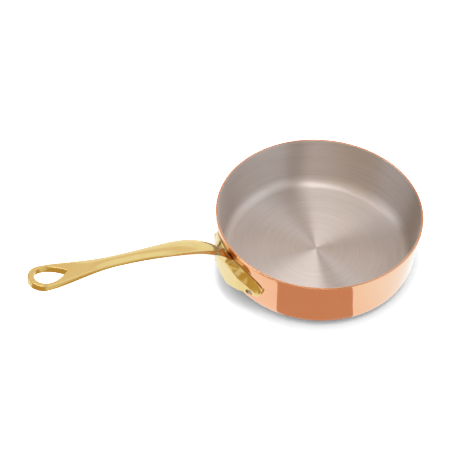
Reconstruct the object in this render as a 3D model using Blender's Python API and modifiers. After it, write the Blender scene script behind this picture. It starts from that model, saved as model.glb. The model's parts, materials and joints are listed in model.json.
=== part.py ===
"""Round saute pan: a copper body with a bonded steel lining and a cast brass handle held by two rivets.

Metres, +Z up. The origin is the centre of the underside, on the hob. The handle runs along -X.
Angles around the pan are measured from the handle's own plane, positive towards -Y.
"""
import math

import bmesh
import bpy
from mathutils import Matrix, Vector

# Pan body: outer sizes of the copper, then the two layers of its wall
RIM_RADIUS = 0.100
PAN_HEIGHT = 0.0582
WALL_DRAFT = 0.0028
CORNER_RADIUS = 0.0131
COPPER_WALL = 0.0013
LINING_WALL = 0.0004
BOND_GAP = 0.0003
TURN_STEPS = 80
CORNER_POINTS = 7

# Flange of the handle: the cast plate that wraps the wall, from its top edge down
FLANGE_BELOW_RIM = 0.0107
FLANGE_GAP = 0.0003
FLANGE_HALF_WIDTH = 0.0451
FLANGE_STATIONS = 40
FLANGE_LEVELS = (0.0, 0.02, 0.05, 0.11, 0.2, 0.3, 0.42, 0.56, 0.7, 0.83, 0.92, 0.97, 1.0)
LOBE_DEPTH = 0.0265
LOBE_RADIUS = 0.0120
LOBE_LOWER_RADIUS = 0.0142
LOBE_TOP_DROP = 0.0065
SHOULDER_FROM_CENTRE = 0.0175
SHOULDER_DROP = 0.0088
SHOULDER_POWER = 1.3
TONGUE_DEPTH = 0.0355
TONGUE_HALF_WIDTH = 0.0265
BODY_THICKNESS = 0.0080
WING_THICKNESS = 0.0034
UPPER_THICKNESS = 0.0018
TIP_THICKNESS = 0.0016
EDGE_THICKNESS = 0.0009
EDGE_FILLET_RADIUS = 0.0018
RIDGE_DEPTH_AT_STEM = 0.0040
RIDGE_DEPTH_AT_RIVET = 0.0165
RIDGE_POWER = 3.0
BODY_HALF_WIDTH = 0.0190
WING_FROM_TIP = 0.0120
FLARE_FROM_CENTRE = 0.0030
FLARE_WIDTH = 0.0080

# Rivets: one in each lobe of the flange, square to the wall
RIVET_FROM_TIP = 0.0135
RIVET_BELOW_TOP = 0.0221
SHANK_RADIUS = 0.0024
SHANK_CLEARANCE = 0.0003
INNER_HEAD_RADIUS = 0.0052
INNER_HEAD_HEIGHT = 0.0016
INNER_HEAD_EDGE_HEIGHT = 0.0005
OUTER_HEAD_RADIUS = 0.0031
OUTER_HEAD_HEIGHT = 0.0017
OUTER_HEAD_EDGE_HEIGHT = 0.0004
SPOT_FACE_MARGIN = 0.0005
SPOT_FACE_FROM_WALL = 0.0030
HEAD_SEAT_GAP = 0.0003
HEAD_POINTS = 5
RIVET_STEPS = 24

# Stem: its upper edge line climbs from the flange in a curve and then runs straight to the eye
STEM_START_FROM_RIM = 0.0008
STEM_SLOPE = 0.245
STEM_RISE_OVER_RIM = 0.0217
ROOT_DROP = 0.0308
ROOT_REACH = 0.0223
ROOT_BURIED_LENGTH = 0.0022
ROOT_BURIED_SHARE = 0.6
STEM_THICKNESS = 0.0045
ROOT_THICKNESS = 0.0022
ROOT_KEEL_DEPTH = 0.0062
EYE_THICKNESS = 0.0062
ROOT_HALF_WIDTH = 0.0076
FACE_START_FROM_RIM = 0.0080
FACE_WIDENING_LENGTH = 0.0075
RIDGE_SHARE = 0.06
GRIP_FROM_RIM = 0.0420
GRIP_HALF_WIDTH = 0.0085
NECK_FROM_RIM = 0.1130
NECK_HALF_WIDTH = 0.0053
CROWN_HEIGHT = 0.0020
CROWN_SPANS = 6
EDGE_BEVEL = 0.0008

# Plan of the stem: how far each span's curve reaches before it turns, as shares of the span, and its points
ROOT_TO_GRIP = (0.40, 0.40, 5)
GRIP_TO_NECK = (0.28, 0.51, 7)
NECK_TO_EYE = (0.46, 0.24, 9)

# Eye: the flat round end with its teardrop hole for hanging
EYE_CENTRE_FROM_RIM = 0.1787
EYE_RADIUS = 0.0126
EYE_SPANS = 8
EYE_END_HALF_WIDTH = 0.00025
HOLE_CENTRE_FROM_RIM = 0.1769
HOLE_RADIUS = 0.0093
HOLE_TIP_FROM_RIM = 0.1580
HOLE_TIP_LENGTH = 0.0045
HOLE_TIP_HALF_WIDTH = 0.0048
HOLE_SHOULDER_LENGTH = 0.0066
HOLE_POINTS = 12

MERGE = 0.00001
SHARP_ANGLE = 0.6

COPPER_COLOUR = (0.93, 0.49, 0.30, 1.0)
STEEL_COLOUR = (0.68, 0.63, 0.58, 1.0)
BRASS_COLOUR = (0.83, 0.62, 0.25, 1.0)
RIVET_COLOUR = (0.60, 0.54, 0.48, 1.0)
COPPER_ROUGHNESS = 0.12
STEEL_ROUGHNESS = 0.35
BRASS_ROUGHNESS = 0.15
RIVET_ROUGHNESS = 0.30

LINING_OFFSET = COPPER_WALL + BOND_GAP
WALL_THICKNESS = LINING_OFFSET + LINING_WALL
FLANGE_TOP = PAN_HEIGHT - FLANGE_BELOW_RIM
RIVET_FROM_CENTRE = FLANGE_HALF_WIDTH - RIVET_FROM_TIP
WING_FROM_CENTRE = FLANGE_HALF_WIDTH - WING_FROM_TIP
DRAFT_ANGLE = math.atan2(WALL_DRAFT, PAN_HEIGHT - CORNER_RADIUS)


def clear_scene():
    """Remove every object that the scene holds."""
    for obj in list(bpy.data.objects):
        bpy.data.objects.remove(obj, do_unlink=True)


def new_collection(name):
    """Make a collection in the scene."""
    collection = bpy.data.collections.new(name)
    bpy.context.scene.collection.children.link(collection)
    return collection


def metal(name, colour, roughness):
    """Make a plain metallic material."""
    material = bpy.data.materials.new(name)
    material.use_nodes = True
    material.diffuse_color = colour
    shader = material.node_tree.nodes["Principled BSDF"]
    shader.inputs["Base Color"].default_value = colour
    shader.inputs["Metallic"].default_value = 1.0
    shader.inputs["Roughness"].default_value = roughness
    return material


def add_object(name, mesh, collection, material=None):
    """Put a mesh in the scene as an object."""
    obj = bpy.data.objects.new(name, mesh)
    collection.objects.link(obj)
    if material:
        mesh.materials.append(material)
    return obj


def as_cutter(obj):
    """Show an object as a wire and keep it out of the model."""
    obj.display_type = "WIRE"
    obj.hide_render = True
    return obj


def boolean(obj, other, operation):
    """Add an exact Boolean with another object."""
    modifier = obj.modifiers.new(other.name, "BOOLEAN")
    modifier.operation = operation
    modifier.object = other
    modifier.solver = "EXACT"


def lerp(a, b, t):
    """Blend two values."""
    return a + (b - a) * t


def smooth(t):
    """Ease from 0 to 1 between t = 0 and t = 1."""
    t = min(max(t, 0.0), 1.0)
    return t * t * (3.0 - 2.0 * t)


def quarter_round(distance, radius):
    """Height of a rounded edge, from 0 at the edge to 1 at the full radius."""
    t = min(max(distance / radius, 0.0), 1.0)
    return math.sqrt(1.0 - (1.0 - t) ** 2)


def wall_radius(z):
    """Outer radius of the copper wall at a height above its corner."""
    climb = (PAN_HEIGHT - z) / (PAN_HEIGHT - CORNER_RADIUS)
    return RIM_RADIUS - WALL_DRAFT * climb


def layer_profile(inset):
    """One face of the pan's wall, from the rim down to the axis, at a depth below the copper's outside."""
    corner_centre = RIM_RADIUS - WALL_DRAFT - CORNER_RADIUS
    radius = CORNER_RADIUS - inset
    points = [(RIM_RADIUS - inset, PAN_HEIGHT)]
    for i in range(CORNER_POINTS + 1):
        angle = 0.5 * math.pi * i / CORNER_POINTS
        x = corner_centre + radius * math.cos(angle)
        z = CORNER_RADIUS - radius * math.sin(angle)
        points.append((x, z))
    points.append((0.0, inset))
    return points


def turned(name, profile, steps, collection, material):
    """Turn a profile about the Z axis."""
    mesh = bpy.data.meshes.new(name)
    verts = [(x, 0.0, z) for x, z in profile]
    edges = [(i, i + 1) for i in range(len(verts) - 1)]
    mesh.from_pydata(verts, edges, [])
    obj = add_object(name, mesh, collection, material)
    screw = obj.modifiers.new("Turn", "SCREW")
    screw.angle = math.tau
    screw.steps = steps
    screw.render_steps = steps
    screw.use_merge_vertices = True
    screw.merge_threshold = MERGE
    return obj


def pan_layer(name, inset, thickness, collection, material):
    """Turn one layer of the pan's wall and floor."""
    inner = layer_profile(inset + thickness)
    outer = layer_profile(inset)
    return turned(name, inner[::-1] + outer, TURN_STEPS, collection, material)


def loft(name, rings, collection, material=None):
    """Join rings of equal length into one closed body."""
    mesh = bpy.data.meshes.new(name)
    body = bmesh.new()
    loops = [[body.verts.new(point) for point in ring] for ring in rings]
    count = len(rings[0])
    for low, high in zip(loops[:-1], loops[1:]):
        for i in range(count):
            j = (i + 1) % count
            body.faces.new((low[i], low[j], high[j], high[i]))
    body.faces.new(loops[0])
    body.faces.new(loops[-1])
    bmesh.ops.remove_doubles(body, verts=body.verts, dist=MERGE)
    bmesh.ops.triangulate(body, faces=[face for face in body.faces if len(face.verts) > 4])
    bmesh.ops.recalc_face_normals(body, faces=body.faces)
    body.to_mesh(mesh)
    body.free()
    mesh.shade_smooth()
    mesh.set_sharp_from_angle(angle=SHARP_ANGLE)
    return add_object(name, mesh, collection, material)


def around(x_along, radius, z):
    """Point at a distance round the wall from the handle's plane."""
    angle = x_along / RIM_RADIUS
    return Vector((-radius * math.cos(angle), -radius * math.sin(angle), z))


def flange_top_drop(x):
    """How far the flange's upper edge has dropped at a distance from its middle."""
    lobe_start = FLANGE_HALF_WIDTH - LOBE_RADIUS
    shoulder = (x - SHOULDER_FROM_CENTRE) / (FLANGE_HALF_WIDTH - SHOULDER_FROM_CENTRE)
    drop = SHOULDER_DROP * max(shoulder, 0.0) ** SHOULDER_POWER
    past = max(x - lobe_start, 0.0) / LOBE_RADIUS
    return drop + LOBE_TOP_DROP * (1.0 - math.sqrt(max(1.0 - past * past, 0.0)))


def flange_bottom_depth(x):
    """Depth of the flange's lower edge: a tongue in the middle and a lobe at each end."""
    tongue = (TONGUE_DEPTH - LOBE_DEPTH) * (1.0 - smooth(x / TONGUE_HALF_WIDTH))
    tip_depth = flange_top_drop(FLANGE_HALF_WIDTH)
    lobe_start = FLANGE_HALF_WIDTH - LOBE_LOWER_RADIUS
    past = max(x - lobe_start, 0.0) / LOBE_LOWER_RADIUS
    rise = (LOBE_DEPTH - tip_depth) * (1.0 - math.sqrt(max(1.0 - past * past, 0.0)))
    return LOBE_DEPTH + tongue - rise


def flange_thickness(x, depth, top, bottom):
    """Thickness of the flange over the wall: it slopes out from its thin upper edge to a ridge."""
    out_to_wing = smooth((x - BODY_HALF_WIDTH) / (WING_FROM_CENTRE - BODY_HALF_WIDTH))
    out_to_tip = smooth((x - RIVET_FROM_CENTRE) / (FLANGE_HALF_WIDTH - RIVET_FROM_CENTRE))
    full = lerp(lerp(BODY_THICKNESS, WING_THICKNESS, out_to_wing), TIP_THICKNESS, out_to_tip)
    flare = smooth(1.0 - (x - FLARE_FROM_CENTRE) / FLARE_WIDTH)
    upper = min(lerp(UPPER_THICKNESS, BODY_THICKNESS, flare), full)
    towards_rivet = min(x / RIVET_FROM_CENTRE, 1.0) ** RIDGE_POWER
    ridge_depth = lerp(RIDGE_DEPTH_AT_STEM, RIDGE_DEPTH_AT_RIVET, towards_rivet)
    face = lerp(upper, full, min(max((depth - top) / ridge_depth, 0.0), 1.0))
    upper_round = quarter_round(depth - top, EDGE_FILLET_RADIUS)
    lower_round = quarter_round(bottom - depth, EDGE_FILLET_RADIUS)
    return lerp(EDGE_THICKNESS, face, upper_round * lower_round)


def flange_rings():
    """Upright slices through the flange, from one lobe's tip to the other's."""
    rings = []
    for i in range(FLANGE_STATIONS + 1):
        x = FLANGE_HALF_WIDTH * math.sin(math.pi * (i / FLANGE_STATIONS - 0.5))
        top = flange_top_drop(abs(x))
        bottom = flange_bottom_depth(abs(x))
        outer = []
        inner = []
        for level in FLANGE_LEVELS:
            depth = lerp(top, bottom, level)
            z = FLANGE_TOP - depth
            seat = wall_radius(z) + FLANGE_GAP
            outer.append(around(x, seat + flange_thickness(abs(x), depth, top, bottom), z))
            inner.append(around(x, seat, z))
        rings.append(outer + inner[::-1])
    return rings


def stem_edge_height(out):
    """Height of the stem's upper edges at a distance outside the rim."""
    straight = PAN_HEIGHT + STEM_RISE_OVER_RIM + STEM_SLOPE * (out - STEM_START_FROM_RIM)
    return straight - ROOT_DROP * math.exp(-(out - STEM_START_FROM_RIM) / ROOT_REACH)


def bezier(points, t):
    """Point on a cubic curve in the plane."""
    u = 1.0 - t
    weights = (u ** 3, 3.0 * u * u * t, 3.0 * u * t * t, t ** 3)
    x = sum(w * p[0] for w, p in zip(weights, points))
    y = sum(w * p[1] for w, p in zip(weights, points))
    return x, y


def s_curve(start, end, first_pull, last_pull, count):
    """Points of a curve that leaves and arrives along the length of the stem."""
    length = end[0] - start[0]
    first = (start[0] + first_pull * length, start[1])
    last = (end[0] - last_pull * length, end[1])
    return [bezier((start, first, last, end), i / count) for i in range(1, count + 1)]


def stem_outline():
    """Half the stem's plan, as distances outside the rim with the half width there."""
    root = (STEM_START_FROM_RIM, ROOT_HALF_WIDTH)
    grip = (GRIP_FROM_RIM, GRIP_HALF_WIDTH)
    neck = (NECK_FROM_RIM, NECK_HALF_WIDTH)
    eye = (EYE_CENTRE_FROM_RIM, EYE_RADIUS)
    outline = [root]
    outline += s_curve(root, grip, *ROOT_TO_GRIP)
    outline += s_curve(grip, neck, *GRIP_TO_NECK)
    outline += s_curve(neck, eye, *NECK_TO_EYE)
    for i in range(1, EYE_SPANS):
        angle = 0.5 * math.pi * i / EYE_SPANS
        outline.append((eye[0] + EYE_RADIUS * math.sin(angle), EYE_RADIUS * math.cos(angle)))
    outline.append((eye[0] + EYE_RADIUS, EYE_END_HALF_WIDTH))
    return outline


def stem_rise(out):
    """Slope of the stem's upper edges at a distance outside the rim."""
    return STEM_SLOPE + ROOT_DROP / ROOT_REACH * math.exp(-(out - STEM_START_FROM_RIM) / ROOT_REACH)


def face_share(out):
    """Share of the stem's width that its top face keeps. At the root the face narrows to a ridge."""
    widening = 1.0 - math.exp(-max(out - FACE_START_FROM_RIM, 0.0) / FACE_WIDENING_LENGTH)
    return lerp(RIDGE_SHARE, 1.0, widening)


def stem_ring(out, half_width):
    """One section of the stem, square to its upper edge line, at a distance outside the rim."""
    rise = stem_rise(out)
    up = Vector((rise, 0.0, 1.0)).normalized()
    across = Vector((0.0, 1.0, 0.0))
    root = smooth(1.0 - (out - STEM_START_FROM_RIM) / ROOT_REACH)
    flat = smooth((out - NECK_FROM_RIM) / (HOLE_TIP_FROM_RIM - NECK_FROM_RIM))
    thickness = lerp(lerp(STEM_THICKNESS, EYE_THICKNESS, flat), ROOT_THICKNESS, root)
    keel = thickness + ROOT_KEEL_DEPTH * root
    crown = CROWN_HEIGHT * (1.0 - flat) * (1.0 - root)
    bevel = min(EDGE_BEVEL, 0.4 * half_width)
    low_half = half_width - bevel
    face_half = face_share(out) * half_width
    face_bevel = min(EDGE_BEVEL, 0.4 * face_half)
    centre = Vector((-(RIM_RADIUS + out), 0.0, stem_edge_height(out)))
    section = [(-half_width, -thickness + bevel), (-face_half, -face_bevel)]
    for i in range(CROWN_SPANS + 1):
        side = lerp(-1.0, 1.0, i / CROWN_SPANS)
        section.append((side * (face_half - face_bevel), crown * (1.0 - side * side)))
    section += [(face_half, -face_bevel), (half_width, -thickness + bevel)]
    section += [(low_half, -thickness), (0.5 * low_half, -keel), (-0.5 * low_half, -keel)]
    section += [(-low_half, -thickness)]
    return [centre + across * y + up * z for y, z in section]


def stem_rings():
    """Sections of the stem, from inside the flange to the end of the eye."""
    rings = [stem_ring(out, half_width) for out, half_width in stem_outline()]
    along = Vector((-1.0, 0.0, stem_rise(STEM_START_FROM_RIM))).normalized()
    ridge = Vector((-(RIM_RADIUS + STEM_START_FROM_RIM), 0.0, stem_edge_height(STEM_START_FROM_RIM)))
    end = ridge - along * ROOT_BURIED_LENGTH
    buried = [end + (point - ridge) * ROOT_BURIED_SHARE for point in rings[0]]
    return [buried] + rings


def hole_outline():
    """Teardrop of the hanging hole, as distances outside the rim with the offset to each side."""
    centre = HOLE_CENTRE_FROM_RIM
    tip = (HOLE_TIP_FROM_RIM, 0.0)
    flank = (HOLE_TIP_FROM_RIM + HOLE_TIP_LENGTH, HOLE_TIP_HALF_WIDTH)
    shoulder = (centre - HOLE_SHOULDER_LENGTH, HOLE_RADIUS)
    side = []
    for i in range(HOLE_POINTS):
        side.append(bezier((tip, flank, shoulder, (centre, HOLE_RADIUS)), i / HOLE_POINTS))
    for i in range(HOLE_POINTS + 1):
        angle = 0.5 * math.pi * i / HOLE_POINTS
        side.append((centre + HOLE_RADIUS * math.sin(angle), HOLE_RADIUS * math.cos(angle)))
    return side + [(x, -y) for x, y in side[-2:0:-1]]


def hole_cutter(collection):
    """Teardrop prism that cuts the hanging hole, square to the eye."""
    up = Vector((STEM_SLOPE, 0.0, 1.0)).normalized()
    rings = []
    for height in (-2.0 * EYE_THICKNESS, EYE_THICKNESS):
        ring = []
        for out, y in hole_outline():
            ring.append(Vector((-(RIM_RADIUS + out), y, stem_edge_height(out))) + up * height)
        rings.append(ring)
    return as_cutter(loft("hanging_hole_cutter", rings, collection))


def rivet_matrix(side):
    """Frame of one rivet: its Z axis points out through the wall, from the copper's outer face."""
    z = FLANGE_TOP - RIVET_BELOW_TOP
    place = around(side * RIVET_FROM_CENTRE, wall_radius(z), z)
    turn = math.pi + side * RIVET_FROM_CENTRE / RIM_RADIUS
    tilt = 0.5 * math.pi + DRAFT_ANGLE
    return Matrix.Translation(place) @ Matrix.Rotation(turn, 4, "Z") @ Matrix.Rotation(tilt, 4, "Y")


def head_profile(radius, edge, height):
    """Low dome of a rivet's head, from its crown to its seat, as radii with heights over the seat."""
    points = [(0.0, height)]
    for i in range(1, HEAD_POINTS + 1):
        angle = 0.5 * math.pi * i / HEAD_POINTS
        points.append((radius * math.sin(angle), edge + (height - edge) * math.cos(angle)))
    points.append((radius, 0.0))
    return points


def rivet_profile():
    """Half the rivet's section, from its outer head's crown to its inner head's crown."""
    sag = INNER_HEAD_RADIUS ** 2 / (2.0 * (RIM_RADIUS - WALL_THICKNESS))
    seat_in = -(WALL_THICKNESS + HEAD_SEAT_GAP + sag)
    seat_out = SPOT_FACE_FROM_WALL + HEAD_SEAT_GAP
    outer = head_profile(OUTER_HEAD_RADIUS, OUTER_HEAD_EDGE_HEIGHT, OUTER_HEAD_HEIGHT)
    inner = head_profile(INNER_HEAD_RADIUS, INNER_HEAD_EDGE_HEIGHT, INNER_HEAD_HEIGHT)
    profile = [(x, seat_out + z) for x, z in outer]
    profile += [(SHANK_RADIUS, seat_out), (SHANK_RADIUS, seat_in)]
    profile += [(x, seat_in - z) for x, z in reversed(inner)]
    return profile


def rivet_cutter(name, matrix, collection):
    """Stepped round cutter along a rivet's axis: its hole, and the spot face under its outer head."""
    bore = SHANK_RADIUS + SHANK_CLEARANCE
    spot = OUTER_HEAD_RADIUS + SPOT_FACE_MARGIN
    reach = INNER_HEAD_RADIUS + BODY_THICKNESS
    step = SPOT_FACE_FROM_WALL
    profile = [(0.0, reach), (spot, reach), (spot, step), (bore, step), (bore, -reach), (0.0, -reach)]
    cutter = turned(name, profile, RIVET_STEPS, collection, None)
    cutter.matrix_world = matrix
    return as_cutter(cutter)


def build():
    """Model the pan."""
    clear_scene()
    parts = new_collection("saute_pan")
    cutters = new_collection("cutters")
    copper = metal("copper", COPPER_COLOUR, COPPER_ROUGHNESS)
    steel = metal("brushed_steel", STEEL_COLOUR, STEEL_ROUGHNESS)
    brass = metal("brass", BRASS_COLOUR, BRASS_ROUGHNESS)
    rivet_steel = metal("rivet_steel", RIVET_COLOUR, RIVET_ROUGHNESS)

    shell = pan_layer("copper_body", 0.0, COPPER_WALL, parts, copper)
    lining = pan_layer("steel_lining", LINING_OFFSET, LINING_WALL, parts, steel)
    handle = loft("brass_handle", flange_rings(), parts, brass)
    stem = as_cutter(loft("stem_form", stem_rings(), cutters))
    boolean(handle, stem, "UNION")
    boolean(handle, hole_cutter(cutters), "DIFFERENCE")

    for name, side in (("rivet_right", 1.0), ("rivet_left", -1.0)):
        matrix = rivet_matrix(side)
        rivet = turned(name, rivet_profile(), RIVET_STEPS, parts, rivet_steel)
        rivet.matrix_world = matrix
        cutter = rivet_cutter(name + "_hole", matrix, cutters)
        for pierced in (shell, lining, handle):
            boolean(pierced, cutter, "DIFFERENCE")


build()
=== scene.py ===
"""Dressed model of a round copper saute pan with a steel lining and a riveted cast brass handle.

Metres, +Z up. The origin is the centre of the underside and the handle runs along -X.
"Out" is a distance from the rim towards the eye of the handle, and angles around the pan are
measured from the handle's own plane, positive towards -Y.
"""

import json
import logging
import math
from collections.abc import Callable, Mapping, Sequence
from dataclasses import dataclass, field
from enum import Enum
from typing import Any

import bmesh
import bpy
from mathutils import Matrix, Vector
from mathutils.bvhtree import BVHTree

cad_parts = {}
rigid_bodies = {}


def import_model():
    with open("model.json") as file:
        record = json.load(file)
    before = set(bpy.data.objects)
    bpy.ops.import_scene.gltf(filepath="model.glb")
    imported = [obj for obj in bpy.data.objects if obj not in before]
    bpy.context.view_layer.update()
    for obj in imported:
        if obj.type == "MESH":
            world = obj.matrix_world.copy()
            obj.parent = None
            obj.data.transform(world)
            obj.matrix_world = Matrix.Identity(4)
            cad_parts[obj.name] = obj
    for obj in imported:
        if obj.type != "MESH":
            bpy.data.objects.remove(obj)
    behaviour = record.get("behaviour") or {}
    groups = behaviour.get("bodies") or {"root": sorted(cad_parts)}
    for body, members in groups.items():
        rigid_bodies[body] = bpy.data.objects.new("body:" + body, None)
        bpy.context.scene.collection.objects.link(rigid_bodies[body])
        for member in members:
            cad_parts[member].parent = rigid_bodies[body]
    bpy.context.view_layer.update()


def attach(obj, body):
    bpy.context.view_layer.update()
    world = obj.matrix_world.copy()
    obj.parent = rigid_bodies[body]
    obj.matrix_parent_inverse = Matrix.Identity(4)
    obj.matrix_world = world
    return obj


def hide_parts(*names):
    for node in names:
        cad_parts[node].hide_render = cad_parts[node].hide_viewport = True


LOG = logging.getLogger("saute_pan")

Point = tuple[float, float]
Triple = tuple[float, float, float]
Colour = Triple
Ring = list[Vector]

MERGE = 0.000005
SMOOTH_ANGLE = math.radians(32)
BODY = "root"
WHITE: Colour = (1.0, 1.0, 1.0)


class Slot(Enum):
    """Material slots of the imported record."""

    COPPER = "copper"
    LINING = "lining"
    BRASS = "cast_brass"
    RIVET = "rivet"


def rgba(colour: Colour) -> tuple[float, float, float, float]:
    """Add full opacity to a colour."""
    return (*colour, 1.0)


def lerp(a: float, b: float, t: float) -> float:
    """Blend two numbers."""
    return a + (b - a) * t


def ease(t: float) -> float:
    """Ease from 0 to 1 between t = 0 and t = 1."""
    t = min(max(t, 0.0), 1.0)
    return t * t * (3.0 - 2.0 * t)


def quarter_round(distance: float, radius: float) -> float:
    """Height of a rounded edge, from 0 at the edge to 1 at the full radius."""
    t = min(max(distance / radius, 0.0), 1.0)
    return math.sqrt(1.0 - (1.0 - t) ** 2)


def quarter_turn(steps: int) -> list[Point]:
    """Sine and cosine of even steps from 0 to a right angle."""
    angles = [0.5 * math.pi * i / steps for i in range(steps + 1)]
    return [(math.sin(angle), math.cos(angle)) for angle in angles]


def bezier(points: Sequence[Point], t: float) -> Point:
    """Find a point on a plane cubic curve.

    Args:
        points: The two ends with the two handles between them.
        t: Share of the way along the curve.

    Returns:
        The point.
    """
    u = 1.0 - t
    weights = (u ** 3, 3.0 * u * u * t, 3.0 * u * t * t, t ** 3)
    return (
        sum(w * p[0] for w, p in zip(weights, points)),
        sum(w * p[1] for w, p in zip(weights, points)),
    )


class Link:
    """A socket of a node tree. Arithmetic on it adds Math nodes."""

    def __init__(self, tree: "Tree", socket: bpy.types.NodeSocket) -> None:
        """Keep the socket and its tree."""
        self.tree = tree
        self.socket = socket

    def __add__(self, other: "Link | float") -> "Link":
        """Add."""
        return self.tree.math("ADD", self, other)

    __radd__ = __add__

    def __sub__(self, other: "Link | float") -> "Link":
        """Subtract."""
        return self.tree.math("SUBTRACT", self, other)

    def __rsub__(self, other: float) -> "Link":
        """Subtract from a number."""
        return self.tree.math("SUBTRACT", other, self)

    def __mul__(self, other: "Link | float") -> "Link":
        """Multiply."""
        return self.tree.math("MULTIPLY", self, other)

    __rmul__ = __mul__

    def __truediv__(self, other: "Link | float") -> "Link":
        """Divide."""
        return self.tree.math("DIVIDE", self, other)

    def __rtruediv__(self, other: float) -> "Link":
        """Divide a number by the socket."""
        return self.tree.math("DIVIDE", other, self)

    def __mod__(self, other: "Link | float") -> "Link":
        """Take the remainder."""
        return self.tree.math("MODULO", self, other)

    def sin(self) -> "Link":
        """Take the sine."""
        return self.tree.math("SINE", self)

    def cos(self) -> "Link":
        """Take the cosine."""
        return self.tree.math("COSINE", self)

    def clamped(self) -> "Link":
        """Hold the value between 0 and 1."""
        return self.tree.math("MINIMUM", self.tree.math("MAXIMUM", self, 0.0), 1.0)


class Tree:
    """Adds nodes to a node tree."""

    def __init__(self, nodes: bpy.types.NodeTree) -> None:
        """Keep the tree."""
        self.nodes = nodes

    def add(
        self,
        kind: str,
        settings: Mapping[str, Any] | None = None,
        sockets: Mapping[int | str, Any] | None = None,
        output: int | str = 0,
    ) -> Link:
        """Add one node.

        Args:
            kind: The node's type.
            settings: Its own settings, which are set first.
            sockets: Values or links for its inputs, by name or number.
            output: The output that the caller goes on with.

        Returns:
            The chosen output, or the first input where the node has no output.
        """
        node = self.nodes.nodes.new(kind)
        for name, value in (settings or {}).items():
            setattr(node, name, value)
        for name, value in (sockets or {}).items():
            if isinstance(value, Link):
                self.nodes.links.new(value.socket, node.inputs[name])
            else:
                node.inputs[name].default_value = value
        return Link(self, node.outputs[output] if node.outputs else node.inputs[0])

    def other(self, link: Link, output: str) -> Link:
        """Take another output of the node behind a link."""
        return Link(self, link.socket.node.outputs[output])

    def math(self, operation: str, *values: Link | float) -> Link:
        """Add a Math node."""
        return self.add("ShaderNodeMath", {"operation": operation}, dict(enumerate(values)))

    def vector(self, x: Link | float, y: Link | float, z: Link | float) -> Link:
        """Join three numbers to a vector."""
        return self.add("ShaderNodeCombineXYZ", {}, {"X": x, "Y": y, "Z": z})


class Shader(Tree):
    """Builds one material."""

    def __init__(self, name: str) -> None:
        """Make an empty material.

        Args:
            name: The material's name.
        """
        self.material = bpy.data.materials.new(name)
        self.material.use_nodes = True
        super().__init__(self.material.node_tree)
        self.nodes.nodes.clear()

    def place(self) -> tuple[Link, Link, Link, Link]:
        """Read the place on the piece.

        Returns:
            The object coordinates as a vector and as three numbers.
        """
        vector = self.add("ShaderNodeTexCoord", output="Object")
        parts = self.add("ShaderNodeSeparateXYZ", {}, {0: vector})
        return vector, parts, self.other(parts, "Y"), self.other(parts, "Z")

    def noise(self, vector: Link, scale: float, detail: float = 2.0, rough: float = 0.5) -> Link:
        """Add a noise pattern.

        Args:
            vector: Where the pattern is read.
            scale: How fine it is.
            detail: How many finer layers it has.
            rough: How strong the finer layers are.

        Returns:
            The pattern, around 0.5.
        """
        sockets = {"Vector": vector, "Scale": scale, "Detail": detail, "Roughness": rough}
        return self.add("ShaderNodeTexNoise", {}, sockets)

    @staticmethod
    def around(middle: float, *patterns: tuple[Link, float]) -> Link:
        """Vary a value with patterns that run from 0 to 1.

        Args:
            middle: The value where every pattern is at 0.5.
            patterns: Each pattern with the whole change that it makes.

        Returns:
            The value.
        """
        lowest = middle - 0.5 * sum(change for _, change in patterns)
        return sum((pattern * change for pattern, change in patterns), start=lowest)

    def mix(self, factor: Link | float, first: Link | Colour, second: Link | Colour) -> Link:
        """Mix two colours.

        Args:
            factor: Share of the second colour.
            first: The colour at 0.
            second: The colour at 1.

        Returns:
            The mixed colour.
        """
        ends = [end if isinstance(end, Link) else rgba(end) for end in (first, second)]
        return self.add(
            "ShaderNodeMix", {"data_type": "RGBA"}, {0: factor, 6: ends[0], 7: ends[1]}, 2
        )

    def bump(self, height: Link, distance: float, under: Link | None = None) -> Link:
        """Turn a height into a normal.

        Args:
            height: The pattern.
            distance: Depth of the pattern in metres.
            under: A normal that the pattern lies on.

        Returns:
            The normal.
        """
        sockets: dict[int | str, Any] = {"Strength": 1.0, "Distance": distance, "Height": height}
        if under:
            sockets["Normal"] = under
        return self.add("ShaderNodeBump", {}, sockets)

    def finish(self, sockets: Mapping[int | str, Any]) -> bpy.types.Material:
        """End the material in one metal surface.

        Args:
            sockets: Values or links of the surface.

        Returns:
            The material.
        """
        surface = self.add("ShaderNodeBsdfPrincipled", {}, {"Metallic": 1.0, **sockets})
        self.add("ShaderNodeOutputMaterial", {}, {"Surface": surface})
        return self.material


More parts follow.
